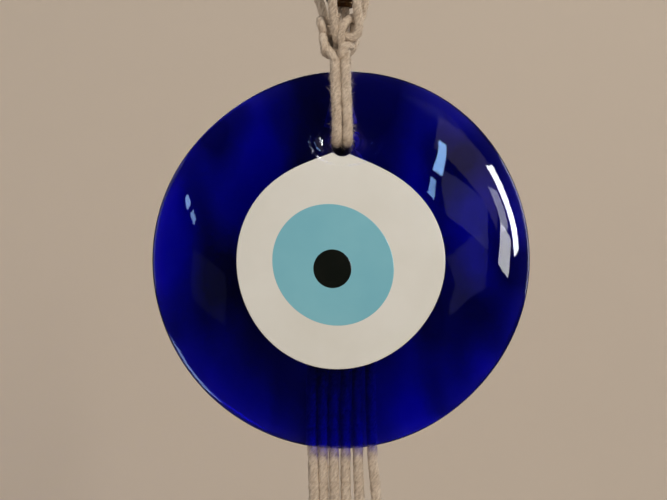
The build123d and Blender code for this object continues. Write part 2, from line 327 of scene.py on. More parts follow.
# Handled metal: tarnish that gathers in patches, and fine scuffs.
metal_group, given, out = new_group(
    "handled_metal",
    [("Place", "Vector", None), ("Bright", "Color", (0.8, 0.6, 0.3, 1)),
     ("Tarnish", "Color", (0.3, 0.2, 0.1, 1)), ("Amount", "Float", 0.5)],
    FINISH,
)
patch = noise(given["Place"], 420, 4.0, 0.6)
scuff = noise(stretched(given["Place"], (1, 1, 5)), 1500, 3.0, 0.7)
mask = combined("ADD", patch, combined("SUBTRACT", given["Amount"], 0.5))
mask = sloped(mask, 0.4, 0.62)
give(out["Color"], mixed(mask, given["Bright"], given["Tarnish"]))
give(out["Roughness"], combined("ADD", combined("MULTIPLY", mask, 0.22), combined("MULTIPLY", scuff, 0.3)))
give(out["Height"], combined("ADD", scuff, patch))


# ---- Materials ----
GLASS_IOR = 1.5
HOLE_SHADE_PLACE = (0.3 * MM, 3.0 * MM, EYE_Z + 31.4 * MM)  # the hole's lower lip, where painted shade darkens the cords
HOLE_SHADE_FULL, HOLE_SHADE_END = 2.2 * MM, 6.4 * MM  # from there: all in painted shade, and out of it again
HOLE_SHADE_COTTON = (0.035, 0.028, 0.030, 1)


def cotton_material(name, pale, deep, follows_yarn=True):
    """Soft matt cotton: the yarn pattern, painted shade where it goes into the hole, sheen and a fibre bump.
    """
    material, nodes, shader = new_material(name)
    place = nodes.new("ShaderNodeTexCoord").outputs["Object"]
    group = put_group(nodes, yarn_group, Pale=pale, Deep=deep)
    if follows_yarn:
        yarn = nodes.new("ShaderNodeAttribute")
        yarn.attribute_name = "yarn"
        give(group.inputs["Yarn"], yarn.outputs["Vector"])
    else:
        give(group.inputs["Yarn"], place)
    give(group.inputs["Place"], place)
    # painted shade: the cotton turns near black close to the hole's lower lip, where the hole lies in shade
    hole_shade = sloped(distance_from(place, HOLE_SHADE_PLACE), HOLE_SHADE_FULL, HOLE_SHADE_END)
    give(shader.inputs["Base Color"], mixed(hole_shade, HOLE_SHADE_COTTON, group.outputs["Color"]))
    shader.inputs["Roughness"].default_value = 0.93
    shader.inputs["Specular IOR Level"].default_value = 0.2
    shader.inputs["Sheen Weight"].default_value = 0.12
    shader.inputs["Sheen Roughness"].default_value = 0.45
    shader.inputs["Sheen Tint"].default_value = (1.0, 0.93, 0.84, 1)
    if follows_yarn:
        bump(group.outputs["Height"], 0.0006, 1.0, shader)
    return material


cotton = cotton_material("cotton_cord", (0.84, 0.71, 0.56, 1), (0.52, 0.40, 0.29, 1))
loose_cotton = cotton_material("loose_cotton_fibre", (0.80, 0.69, 0.56, 1), (0.62, 0.50, 0.38, 1), False)


def finished(name, effect, bump_distance, bump_strength, **values):
    """A material whose colour, roughness and bump come from a shared effect with its own values."""
    material, nodes, shader = new_material(name)
    group = put_group(nodes, effect, **values)
    give(group.inputs["Place"], nodes.new("ShaderNodeTexCoord").outputs["Object"])
    give(shader.inputs["Base Color"], group.outputs["Color"])
    give(shader.inputs["Roughness"], group.outputs["Roughness"])
    bump(group.outputs["Height"], bump_distance, bump_strength, shader)
    return material, nodes, shader


def opaque_glass(name, tone, cloud, polish):
    """Fire-polished opaque glass."""
    material, _, shader = finished(name, pour_group, 0.00012, 0.25, Tone=tone, Cloud=cloud, Polish=polish)
    shader.inputs["IOR"].default_value = GLASS_IOR
    return material


white_glass = opaque_glass("white_glass", (0.81, 0.80, 0.735, 1), (0.765, 0.75, 0.675, 1), 0.16)
sky_glass = opaque_glass("sky_glass", (0.21, 0.52, 0.62, 1), (0.24, 0.56, 0.65, 1), 0.16)
black_glass = opaque_glass("black_glass", (0.004, 0.006, 0.004, 1), (0.010, 0.011, 0.008, 1), 0.12)

# Clear cobalt glass: the blue is in its depth, and its shadow lets blue light through.
cobalt_glass, nodes, shader = finished(
    "cobalt_glass", pour_group, 0.0002, 0.2, Tone=(1, 1, 1, 1), Cloud=(0.9, 0.93, 1, 1), Polish=0.012,
)
shader.inputs["IOR"].default_value = GLASS_IOR
shader.inputs["Transmission Weight"].default_value = 1.0
lets_through = nodes.new("ShaderNodeBsdfTransparent")
lets_through.inputs["Color"].default_value = (0.75, 0.78, 0.92, 1)
shadow_mix = nodes.new("ShaderNodeMixShader")
give(shadow_mix.inputs["Fac"], nodes.new("ShaderNodeLightPath").outputs["Is Shadow Ray"])
give(shadow_mix.inputs[1], shader.outputs["BSDF"])
give(shadow_mix.inputs[2], lets_through.outputs["BSDF"])
give(nodes["Material Output"].inputs["Surface"], shadow_mix.outputs["Shader"])
absorption = nodes.new("ShaderNodeVolumeAbsorption")
absorption.inputs["Color"].default_value = (0.02, 0.05, 0.89, 1)
absorption.inputs["Density"].default_value = 930.0
give(nodes["Material Output"].inputs["Volume"], absorption.outputs["Volume"])


def metal_material(name, bright, tarnish, amount):
    """Cast brass with tarnish and scuffs from handling."""
    material, _, shader = finished(
        name, metal_group, 0.00008, 0.5, Bright=bright, Tarnish=tarnish, Amount=amount,
    )
    shader.inputs["Metallic"].default_value = 1.0
    return material


brass = metal_material("brass", (0.80, 0.57, 0.25, 1), (0.42, 0.25, 0.09, 1), 0.42)
# a darker copy of the brass, for the bead
aged_brass = metal_material("aged_brass", (0.46, 0.26, 0.09, 1), (0.10, 0.05, 0.022, 1), 0.62)

# ---- Cords ----
LAY = 11.0 * MM  # one whole turn of the plies
PLIES = 3
AROUND = 30
SWELL = 0.02  # unevenness, as a share of the radius
GROOVE, SOFT_GROOVE = 0.075, 0.06  # how deep the plies part, as a share of the radius
FELTED = 1.05  # the free strands' felted surface stands this much fuller than the cord's radius
GRAIN = 0.024  # roughness of the felted surface, as a share of the radius


def cord_surface(line, radius, groove=GROOVE):
    """A plied cord carried along a line.

    The section is a circle of the radius at each point, less the groove where two plies meet,
    which turns by one whole turn per lay; slow sines along and around make it a little uneven,
    and a fixed random grain makes it felted. Gives the grid and, for every point, its place in
    the straight untwisted cord.
    """
    tangent, normal, binormal = directions(line)
    along = np.r_[0, np.cumsum(np.linalg.norm(np.diff(line, axis=0), axis=1))][:, None]
    around_angle = np.linspace(0, 2 * np.pi, AROUND, endpoint=False)[None, :]
    inner = around_angle - 2 * np.pi * along / LAY
    valley = (1 - np.abs(np.cos(PLIES * inner / 2))) ** 1.6
    uneven = np.sin(along / (1.9 * MM) + 2 * around_angle) + np.sin(along / (3.1 * MM) - around_angle)
    grain = GRAIN * np.random.default_rng(len(line)).normal(size=valley.shape).clip(-2, 2)
    grain += np.roll(grain, 1, axis=0) + np.roll(grain, 1, axis=1) + np.roll(grain, (1, 1), axis=(0, 1))
    full = 1 + groove / 3 - groove * valley + SWELL * uneven / 2 + grain
    size = np.asarray(radius, float).reshape(-1, 1) * full
    grid = line[:, None, :] + size[..., None] * (
        np.cos(around_angle)[..., None] * normal[:, None, :]
        + np.sin(around_angle)[..., None] * binormal[:, None, :]
    )
    yarn = np.stack(np.broadcast_arrays(size * np.cos(inner), size * np.sin(inner), along), axis=-1)
    return grid, yarn


def rounded(line, radius):
    """A radius along a line that closes smoothly to a blunt tip at each end."""
    along = np.r_[0, np.cumsum(np.linalg.norm(np.diff(line, axis=0), axis=1))]
    nearest = np.minimum(along, along[-1] - along)
    return radius * np.sqrt(np.clip(1 - (1 - nearest / radius).clip(0, 1) ** 2, 0.02, 1))


def cord_shells(lines, radii, groove=GROOVE):
    """Closed cord surfaces on lines, with the yarn vectors of their points and end poles."""
    shells, yarns = [], []
    for line, radius in zip(lines, radii):
        grid, yarn = cord_surface(line, radius, groove)
        shells.append(shell(grid))
        yarns += [yarn.reshape(-1, 3), yarn[0].mean(axis=0)[None], yarn[-1].mean(axis=0)[None]]
    return shells, yarns


def attach(piece, bodies):
    """A piece rides on one body; given two bodies, it is left in place in the frame, on neither."""
    if isinstance(bodies, str):
        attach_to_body(piece, bodies)
    else:
        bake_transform(piece)


def cords(name, routes, bodies, replaced=(), radius=CORD_R, groove=GROOVE,
          fuzz_per_mm=10, seed=1):
    """One piece made of several cords on their routes, with its loose fibres as a second piece.

    bodies is one body that the piece rides on, or two, and then it is left in place in the frame.
    """
    lines = [smooth_line(placed(route)) for route in routes]
    shells, yarns = cord_shells(lines, [rounded(line, radius * MM) for line in lines], groove)
    piece = make_piece(name, shells, cotton, yarns)
    fuzz = loose_fibres(f"{name}_fuzz", lines, radius * MM, fuzz_per_mm, seed)
    for made in (piece, fuzz):
        attach(made, bodies)
    if replaced:
        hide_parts(*replaced)


def hair(roots, ways, bends, thickness, steps=3):
    """Tapering three-sided fibres, each a closed needle: root + way t + bend t squared."""
    count = len(roots)
    side = np.cross(ways, bends + (1e-6, 2e-6, 1e-6))
    side /= np.linalg.norm(side, axis=1, keepdims=True)
    other = np.cross(ways, side)
    other /= np.linalg.norm(other, axis=1, keepdims=True)
    t = np.linspace(0, 1, steps + 1)[None, :, None]
    thickness = np.broadcast_to(thickness, count)[:, None, None, None]
    centre = roots[:, None] + ways[:, None] * t + bends[:, None] * t**2
    corner = np.arange(3) * 2 * np.pi / 3
    spoke = np.cos(corner)[None, :, None] * side[:, None] + np.sin(corner)[None, :, None] * other[:, None]
    taper = thickness * np.sqrt(1 - t[:, :-1, :, None])
    rings = centre[:, :-1, None] + taper * spoke[:, None]
    points = np.concatenate([rings.reshape(count, -1, 3), centre[:, -1:]], axis=1)
    body = ring_faces(steps, 3)
    top = 3 * (steps - 1)
    caps = np.array([[0, 2, 1], *([top + k, top + (k + 1) % 3, top + 3] for k in range(3))])
    start = (np.arange(count) * points.shape[1])[:, None, None]
    faces = (start + body).reshape(-1, 4).tolist() + (start + caps).reshape(-1, 3).tolist()
    return points.reshape(-1, 3), faces


def loose_fibres(name, lines, radius, per_mm, seed):
    """Short fine fibres that stand off the cords' surface and lean along them."""
    rng = np.random.default_rng(seed)
    roots, ways, bends = [], [], []
    for line in lines:
        tangent, normal, binormal = directions(line)
        count = max(8, int(length_of(line) / MM * per_mm))
        k = rng.integers(2, max(3, len(line) - 2), count)
        angle = rng.uniform(0, 2 * np.pi, count)[:, None]
        out = np.cos(angle) * normal[k] + np.sin(angle) * binormal[k]
        round_it = np.cross(tangent[k], out)
        reach = rng.gamma(1.8, 0.34, count)[:, None].clip(0.12, 1.6) * MM
        lean = rng.normal(0, 0.7, (count, 2))
        roots.append(line[k] + out * radius * 0.93)
        ways.append(reach * (0.9 * out + lean[:, :1] * tangent[k] + 0.5 * lean[:, 1:] * round_it))
        bends.append(reach * (-0.2 * out + 0.5 * rng.normal(0, 0.8, (count, 3))))
    roots = np.vstack(roots)
    thickness = rng.gamma(4, 0.012, len(roots)).clip(0.02, 0.09) * MM
    needles = hair(roots, np.vstack(ways), np.vstack(bends), thickness)
    return make_piece(name, [needles], loose_cotton)


# The six free strands of the fringe: (x, offset from the layer behind the glass, height).
STRAND_X = (-8.10, -4.86, -1.62, 1.62, 4.86, 8.10)  # where they leave the knot
TOP = 8.2
fringe_routes = [
    [(-8.10, 0.0, TOP), (-8.60, 0.0, 2), (-8.25, 0.0, -17), (-8.70, 0.0, -36), (-8.35, 0.1, -55),
     (-7.75, -0.5, -73), (-8.10, -1.5, -90), (-8.60, -1.9, -98), (-8.60, -1.9, -104.0)],
    [(-4.86, 0.0, TOP), (-5.25, 0.0, 3), (-5.05, 0.0, -16), (-5.50, 0.0, -36), (-5.35, 0.0, -55),
     (-5.05, 0.5, -74), (-5.45, 1.8, -93), (-5.20, 2.3, -102), (-5.20, 2.3, -108.5)],
    [(-1.62, 0.0, TOP), (-1.75, 0.0, 1), (-2.10, 0.0, -18), (-2.05, 0.0, -37), (-2.20, 0.1, -56),
     (-1.75, -0.4, -74), (-2.05, -1.5, -90), (-1.90, -1.9, -97), (-1.90, -1.9, -103.0)],
    [(1.62, 0.0, TOP), (1.35, 0.0, 3), (1.60, 0.0, -15), (1.25, 0.0, -36), (1.30, 0.0, -56),
     (1.45, 0.6, -75), (1.20, 1.8, -94), (1.50, 2.3, -103), (1.50, 2.3, -109.5)],
    [(4.86, 0.0, TOP), (4.60, 0.0, 2), (4.90, 0.0, -17), (4.60, 0.0, -36), (4.80, 0.1, -55),
     (5.60, -0.4, -74), (5.80, -1.4, -91), (5.50, -1.9, -100), (5.50, -1.9, -106.5)],
    [(8.10, 0.0, TOP), (7.95, 0.0, 1), (8.45, 0.0, -18), (8.45, 0.05, -37), (8.90, 0.0, -55),
     (10.80, 0.5, -73), (11.00, 1.7, -90), (10.20, 2.1, -97), (10.20, 2.1, -102.5)],
]
KNOT_HALF = 2.9 * MM  # half the height of each end knot
KNOT_TURNS = 2.35
KNOT_CORE_R, KNOT_WOUND_R = 1.32 * MM, 1.28 * MM
KNOT_RINGS = 90
TIP_LENGTH = 9.0 * MM
TIP_FIBRES = 150


def end_knot(name, end, seed):
    """A double overhand knot: a core strand, and a strand that winds a little over two turns round it.

    The winding's radius swells in the middle of the knot and its ends sink into the core.
    """
    t = np.linspace(0, 1, KNOT_RINGS)[:, None]
    core = end - 2 * KNOT_HALF * t * (0, 0, 1)
    turn = 2 * np.pi * KNOT_TURNS * t + seed
    swell = (1.75 - 1.3 * np.abs(2 * t - 1) ** 3.2) * MM
    winding = end + np.c_[swell * np.cos(turn), swell * np.sin(turn), -KNOT_HALF * (1 + 0.74 * (2 * t - 1))]
    radii = (np.full(KNOT_RINGS, KNOT_CORE_R), rounded(winding, KNOT_WOUND_R))
    shells, yarns = cord_shells((core, winding), radii)
    piece = make_piece(name, shells, cotton, yarns)
    fuzz = loose_fibres(f"{name}_fuzz", [winding], 1.3 * MM, 8, seed + 40)
    return piece, fuzz


def frayed_tip(name, top, seed):
    """A brush of combed-out fibres: each starts in the knot and spreads as it falls."""
    rng = np.random.default_rng(seed)
    count = TIP_FIBRES
    angle = rng.uniform(0, 2 * np.pi, count)
    start = np.sqrt(rng.uniform(0, 1, count)) * 1.15 * MM
    spread = start * rng.uniform(0.4, 0.9, count)
    side = np.c_[np.cos(angle), np.sin(angle), np.zeros(count)]
    roots = top + start[:, None] * side + (0, 0, 0.9 * MM)
    fall = TIP_LENGTH * rng.uniform(0.86, 1.0, count) + 0.9 * MM
    ways = spread[:, None] * side * 0.5 - fall[:, None] * (0, 0, 1) * 0.9
    bends = spread[:, None] * side * 0.7 - fall[:, None] * (0, 0, 1) * 0.1
    bends[:, :2] += rng.normal(0, 0.22, (count, 2)) * MM
    return make_piece(name, [hair(roots, ways, bends, 0.13 * MM, steps=8)], loose_cotton)


for number, points in enumerate(fringe_routes, start=1):
    route = [(x, LAYER_Y + offset, height) for x, offset, height in points]
    line = smooth_line(placed(route))
    shells, yarns = cord_shells([line], [rounded(line, FELTED * CORD_R * MM)], SOFT_GROOVE)
    strand = make_piece(f"fringe_{number}", shells, cotton, yarns)
    strand_fuzz = loose_fibres(f"fringe_{number}_fuzz", [line], CORD_R * MM, 8, number)
    knot, knot_fuzz = end_knot(f"overhand_knot_{number}", line[-1], number)
    brush = frayed_tip(f"combed_tip_{number}", line[-1] - (0, 0, 2 * KNOT_HALF), number + 20)
    for made in (strand, strand_fuzz, knot, knot_fuzz, brush):
        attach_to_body(made, "fringe")
    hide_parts(f"fringe_strand_{number}")
    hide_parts(f"end_knot_{number}")
    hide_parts(f"frayed_tip_{number}")

# Short turns that join each fringe strand to the knot above it.
roots = [[(x, LAYER_Y + 0.6, 12.2), (x, LAYER_Y, 9.8), (x, LAYER_Y, 7.0), (x, LAYER_Y, 4.6)]
         for x in STRAND_X]
cords("fringe_roots", roots, ("pendant", "fringe"), radius=1.46, seed=51)

# ---- Hanger, from the ring down ----
WIRE_R, RING_R = 1.25, 12.0
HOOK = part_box("hanging_ring")[0].z + WIRE_R * MM
HOOK_HEIGHT = (HOOK - EYE_Z) / MM  # height of the ring wire's middle where the cords hang
WRAP_TOP, WRAP_BOTTOM = 104.0, 95.0

angle = np.linspace(0, 2 * np.pi, 160, endpoint=False)
across = np.linspace(0, 2 * np.pi, 32, endpoint=False)
wire = (RING_R + WIRE_R * np.cos(across)[None, :]) * MM
ring_grid = np.stack(np.broadcast_arrays(
    wire * np.sin(angle)[:, None],
    WIRE_R * MM * np.sin(across)[None, :] + 0 * angle[:, None],
    HOOK + RING_R * MM + wire * np.cos(angle)[:, None],
), axis=-1)
ring = make_piece("brass_ring", [shell(ring_grid[:, ::-1], loop=True)], brass)
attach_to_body(ring, "ring")
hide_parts("hanging_ring")

# Three folds over the ring: a half turn of control points round the wire, and two legs in the wrap.
fold = 3.5 / np.cos(np.pi / 8)
fold_points = [(fold * np.cos(a), fold * np.sin(a)) for a in np.linspace(0, np.pi, 5)]
for name, x in (("left", -3.1), ("middle", 0.0), ("right", 3.1)):
    inside = 0.95 * x
    down = [(x, -y, HOOK_HEIGHT + z) for y, z in fold_points]
    route = [(inside, -1.5, 97.0), (inside, -1.5, WRAP_TOP - 0.5), (x, -3.3, WRAP_TOP + 3.0), *down,
             (x, 3.3, WRAP_TOP + 3.0), (inside, 1.5, WRAP_TOP - 0.5), (inside, 1.5, 97.0)]
    cords(f"{name}_fold", [route], "suspension", [f"{name}_ring_loop"], seed=60 + int(x))

# The wrap is wound down from its top; its control points stand a little outside the coil.
WRAP_TURNS, WRAP_PITCH = 3.15, 2.1216
WRAP_HALF_WIDE, WRAP_HALF_DEEP = 4.95 / 0.97, 3.45 / 0.97
wound = [(WRAP_HALF_WIDE * np.sin(a), WRAP_HALF_DEEP * np.cos(a),
          WRAP_TOP - 1.35 - WRAP_PITCH * a / (2 * np.pi))
         for a in np.linspace(0, WRAP_TURNS * 2 * np.pi, 27)]
wrap_route = [(0.6, 1.2, WRAP_TOP - 1.9), *wound, (1.5, 0.5, WRAP_BOTTOM + 1.8)]
cords("wound_wrap", [wrap_route], "suspension", ["gathering_wrap"], seed=66)

neck_routes = []
for x in (-2.95, 0.0, 2.95):
    for y in (-1.5, 1.5):
        neck_routes.append([
            (x, y, 98.5), (x, y, 94.0), (1.05 * x, 1.1 * y, 91.0), (x, y, 88.0), (0.8 * x, y, 85.5),
        ])
cords("neck", neck_routes, ("suspension", "hanger"), ["neck_strands"], seed=67)

upper_routes = [
    # the strand that starts on the left: over the front, then behind
    [(-2.95, -1.6, 91.0), (-4.8, -2.2, 89.4), (-3.6, -4.0, 88.2), (0.4, -4.5, 87.4), (4.3, -3.6, 86.6),
     (6.4, -0.6, 85.6), (5.0, 2.9, 84.8), (0.2, 4.2, 84.0), (-4.4, 3.0, 83.2), (-6.0, 1.0, 82.3),
     (-6.6, 0.9, 80.4)],
    # the strand that starts on the right: behind, then over the front
    [(2.95, -1.6, 91.0), (5.6, -0.9, 89.7), (5.3, 2.5, 88.8), (0.4, 4.4, 87.8), (-4.8, 3.2, 87.2),
     (-6.7, -0.4, 86.0), (-4.8, -3.9, 84.9), (0.0, -4.7, 84.0), (4.4, -3.4, 83.2), (6.0, 0.2, 82.2),
     (6.4, 0.9, 80.4)],
    # shoulders that fill the middle
    [(-2.4, 2.9, 89.6), (-2.2, 1.5, 85.5), (-2.0, 0.4, 81.8)],
    [(2.4, 2.9, 89.6), (2.2, 1.5, 85.5), (2.0, 0.4, 81.8)],
    [(-1.6, -2.3, 88.5), (-1.7, -2.6, 84.5), (-2.2, -2.9, 81.2)],
    [(1.6, -2.3, 88.5), (1.8, -2.6, 84.5), (2.5, -2.9, 81.2)],
]
cords("upper_square_knot", upper_routes, "hanger", ["upper_knot"], radius=1.45, seed=68)

left_side = [
    [(-4.4, 2.4, 84.5), (-6.9, 1.1, 81.5), (-7.0, 0.3, 77.0), (-5.6, -1.2, 73.2), (-4.8, 0.2, 70.0),
     (-2.4, 1.4, 69.0)],
    [(-1.9, -2.4, 84.0), (-2.6, -4.6, 81.4), (-3.2, -7.5, 78.6), (-2.4, -6.6, 73.4), (-2.2, -4.6, 69.0),
     (-1.6, -4.0, 65.0), (-0.8, -1.8, 63.0)],
]
right_side = [
    [(4.4, 2.4, 84.5), (6.8, 1.2, 81.5), (7.2, 1.0, 77.0), (6.5, 0.8, 72.4), (4.8, 1.4, 68.4),
     (2.2, 1.6, 66.6)],
    [(2.2, -2.4, 84.0), (3.2, -4.6, 81.4), (4.6, -6.9, 78.4), (4.5, -5.8, 73.0), (5.2, -4.3, 68.8),
     (4.9, -3.6, 65.1), (2.6, -3.6, 64.1), (0.6, -2.6, 64.9), (-0.6, -1.0, 65.6)],
]
for name, routes, seed in (("left", left_side, 70), ("right", right_side, 71)):
    cords(f"{name}_side", routes, ("hanger", "closing_knot"), [f"{name}_side_strands"], radius=1.28,
          fuzz_per_mm=11, seed=seed)
core_route = [(1.7, -0.3, 84.0), (1.2, 0, 80.5), (1.2, 0, 73.0), (1.4, 0, 66.0), (1.2, 0, 61.0)]
core = [[(side * x, y, z) for x, y, z in core_route] for side in (-1, 1)]
cords("core", core, ("hanger", "closing_knot"), ["core_strands"], radius=1.15, seed=72)

closing_routes = [
    # left, upper and lower bights
    [(-1.9, 1.5, 68.4), (-5.1, 0.9, 70.1), (-6.2, -1.9, 69.7), (-5.5, -3.4, 67.4), (-4.7, -0.6, 65.6),
     (-2.0, 1.5, 66.2)],
    [(-2.0, 1.6, 66.9), (-4.6, 0.9, 67.4), (-5.4, -2.0, 65.6), (-4.9, -3.6, 62.0), (-4.5, -1.0, 59.2),
     (-2.0, 1.2, 60.0)],
    # the end that crosses at the lower left
    [(-4.4, 1.0, 63.4), (-4.4, -1.6, 61.9), (-3.2, -3.5, 59.8), (-1.7, -3.6, 58.2), (0.0, -1.4, 57.4),
     (1.2, 0.0, 58.2)],
    # from the upper right to the middle and down
    [(4.4, 0.9, 69.8), (3.5, -2.4, 70.6), (1.2, -4.4, 68.7), (-0.2, -4.4, 66.2), (0.1, -4.0, 62.6),
     (0.6, -2.2, 60.0)],
    # lower bight
    [(3.0, 1.4, 61.6), (2.9, -1.9, 62.4), (1.4, -4.4, 62.0), (-0.1, -4.5, 59.8), (0.6, -2.0, 57.9),
     (1.8, 0.6, 59.0)],
    # right, behind the loop
    [(1.5, 1.6, 64.6), (3.9, 1.6, 64.4), (3.6, 0.0, 62.2), (2.2, 0.6, 60.2), (0.4, 1.4, 60.0)],
    # crossings at the back
    [(-4.9, 0.6, 70.2), (-3.0, 2.9, 68.8), (0.6, 4.2, 66.6), (4.0, 2.9, 64.6), (4.4, 0.8, 62.6)],
    [(5.2, 0.6, 69.4), (3.2, 3.2, 68.2), (0.0, 2.7, 66.0), (-3.4, 3.0, 63.8), (-4.6, 0.8, 61.6)],
    [(-4.2, 1.2, 65.6), (-2.2, 3.8, 63.4), (1.2, 4.4, 61.4), (2.6, 2.2, 59.9), (1.6, 0.6, 60.4)],
    [(2.0, 1.0, 69.0), (0.4, 3.2, 68.4), (-1.8, 3.4, 68.0), (-3.0, 1.6, 67.4)],
    # the core that they are tied round
    [(-1.0, 0.4, 66.0), (-1.2, 0.4, 62.0), (-1.3, 0.2, 58.4)],
    [(1.0, 0.4, 66.0), (1.0, 0.4, 62.0), (1.0, 0.2, 58.4)],
]
cords("closing_square_knot", closing_routes, "closing_knot", ["closing_knot"],
      radius=1.24, fuzz_per_mm=11, seed=73)

# ---- Bead ----
# A barrel profile with two turned grooves, rounded lips and a straight hole, turned about the cords.
BEAD_Z, BEAD_HALF = 76.95, 3.75
BEAD_R, BEAD_END_R, BEAD_HOLE = 4.5, 3.25, 2.55
BARREL = 0.97  # the barrel's share of the half height; the lips take the rest
height = np.linspace(-1, 1, 61)
barrel = BEAD_END_R + (BEAD_R - BEAD_END_R) * (1 - np.abs(height) ** 2.2)
for groove_at in (-0.62, 0.62):
    barrel -= 0.22 * np.exp(-((height - groove_at) / 0.055) ** 2)
lip = np.linspace(0, 1, 7)[1:-1]
lip_r, lip_height = BEAD_END_R - 0.62 * lip, BEAD_HALF * (BARREL + (1 - BARREL) * np.sin(np.pi * lip))
profile = np.r_[
    np.c_[barrel, BEAD_HALF * height * BARREL],
    np.c_[lip_r, lip_height],
    np.c_[np.full(8, BEAD_HOLE), np.linspace(BARREL, -BARREL, 8) * BEAD_HALF],
    np.c_[lip_r[::-1], -lip_height[::-1]],
]
spin = np.linspace(0, 2 * np.pi, 72, endpoint=False)
bead_grid = np.stack([
    profile[:, :1] * np.cos(spin), profile[:, :1] * np.sin(spin), profile[:, 1:] + BEAD_Z + 0 * spin[None, :],
], axis=-1) * MM + (0, 0, EYE_Z)
bead = make_piece("turned_bead", [shell(bead_grid, loop=True)], aged_brass)
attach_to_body(bead, "bead")
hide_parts("bead")

# ---- Strands that carry the glass ----
KNOT_Y = 6.7  # the middle of the knot behind the glass
front_routes = [
    [(-1.0, 0.2, 61.4), (-1.7, -2.3, 58.9), (-1.75, -3.9, 54.6), (-1.25, -6.0, 44.5), (-1.15, -5.9, 38.0),
     (-1.15, -5.1, 35.0), (-1.15, 0.0, 33.9), (-1.15, 4.6, 34.2), (-1.25, 5.7, 32.0), (-1.62, 5.6, 26.0),
     (-1.62, 5.7, 19.0), (-1.62, KNOT_Y, 14.0)],
    [(1.0, -0.6, 63.2), (1.15, -2.5, 60.6), (1.2, -3.8, 54.6), (1.65, -6.0, 44.5), (1.85, -5.9, 38.0),
     (1.8, -5.1, 35.0), (1.75, 0.0, 33.9), (1.75, 4.6, 34.2), (1.7, 5.7, 32.0), (1.62, 5.6, 26.0),
     (1.62, 5.7, 19.0), (1.62, KNOT_Y, 14.0)],
]
for name, route, seed in zip(("left", "right"), front_routes, (80, 81)):
    cords(f"{name}_front", [route], ("closing_knot", "pendant"), [f"{name}_front_strand"],
          radius=1.46, groove=SOFT_GROOVE, fuzz_per_mm=50, seed=seed)

inner_route = [(0.9, 1.2, 64.0), (1.5, 2.7, 60.4), (1.4, LAYER_Y, 54.0), (1.4, LAYER_Y, 41.0),
               (1.4, 8.5, 35.5), (2.1, 8.7, 29.5), (4.86, KNOT_Y, 18.6), (4.86, KNOT_Y, 13.0)]
outer_route = [(1.2, 2.6, 62.0), (1.6, 5.9, 59.6), (1.4, 8.9, 53.0), (1.5, 8.6, 45.0), (4.2, 8.8, 37.0),
               (5.1, 8.7, 29.5), (8.1, 6.2, 19.6), (8.1, KNOT_Y, 14.0)]
back_strands = (("outer_left", outer_route, -1), ("inner_left", inner_route, -1),
                ("inner_right", inner_route, 1), ("outer_right", outer_route, 1))
for number, (name, route, side) in enumerate(back_strands):
    cords(f"{name}_back", [[(side * x, y, height) for x, y, height in route]], ("closing_knot", "pendant"),
          [f"{name}_back_strand"], seed=90 + number)

# The flat knot behind the glass: the outer strands cross before and behind the four inner ones.
back_routes = [
    [(-8.1, 6.2, 20.0), (-9.1, 6.2, 17.8), (-6.6, 8.5, 16.9), (0.0, 9.3, 16.2), (6.8, 8.6, 15.3),
     (9.6, 6.4, 14.2), (6.6, 5.2, 12.9), (0.0, 5.3, 12.3), (-6.4, 5.3, 11.9), (-8.9, 6.2, 11.6),
     (-8.1, 5.8, 10.0)],
    [(8.1, 6.2, 20.0), (9.1, 6.0, 18.4), (6.4, 5.3, 17.4), (0.0, 5.3, 16.8), (-6.4, 5.3, 16.2),
     (-9.7, 6.4, 15.2), (-6.6, 8.6, 13.8), (0.0, 9.2, 13.0), (6.6, 8.3, 12.4), (9.0, 6.2, 11.6),
     (8.1, 5.8, 10.0)],
    *[[(x, 6.4, 19.0), (x, 6.9, 16.0), (x, 6.9, 12.4), (x, 5.9, 10.0)] for x in STRAND_X[1:5]],
]
cords("back_square_knot", back_routes, "pendant", ["back_knot"], radius=1.35, seed=95)

# ---- Glass ----
RIM_CORNER = 1.9 * MM
DOME_POWER = 3.2
HOLE_X, HOLE_Z = 0.3 * MM, 33.2 * MM  # from the centre of the eye
HOLE_R, FUNNEL_R, FUNNEL_DEPTH = 3.2 * MM, 7.2 * MM, 3.2 * MM
FUNNEL_X, FUNNEL_Z, FUNNEL_WIDE = 1.3 * MM, 34.4 * MM, 1.45  # the funnel is wider than it is high
BACK_FLARE = 0.9 * MM
CREASE = 0.25 * MM  # how softly the funnel meets the dome


BUBBLE_BAND = (33, 50)  # how far from the middle of the face the bubbles lie, in millimetres


def degrees_from_top(x, z):
    """Degrees clockwise from straight up, as seen from the front."""
    return np.degrees(np.arctan2(x, z))


def bell(angle, middle, width):
    """A smooth bump over an angle in degrees, one high."""
    off = (angle - middle + 180) % 360 - 180
    return np.exp(-((off / width) ** 2))


def disc_outline(angle):
    """Radius of the poured disc: round, a little full at the upper right and flat at the upper left."""
    return DISC_R + (0.7 * bell(angle, 37, 26) - 0.8 * bell(angle, 322, 26) - 0.4 * bell(angle, 135, 24)) * MM


def dome(x, z):
    """The front of the disc: a superellipse from the middle of the face out to the rim."""
    share = (np.hypot(x, z) / disc_outline(degrees_from_top(x, z))).clip(0, 1)
    return FRONT_Y + (BACK_Y - RIM_CORNER - FRONT_Y) * (1 - np.sqrt(1 - share**DOME_POWER))


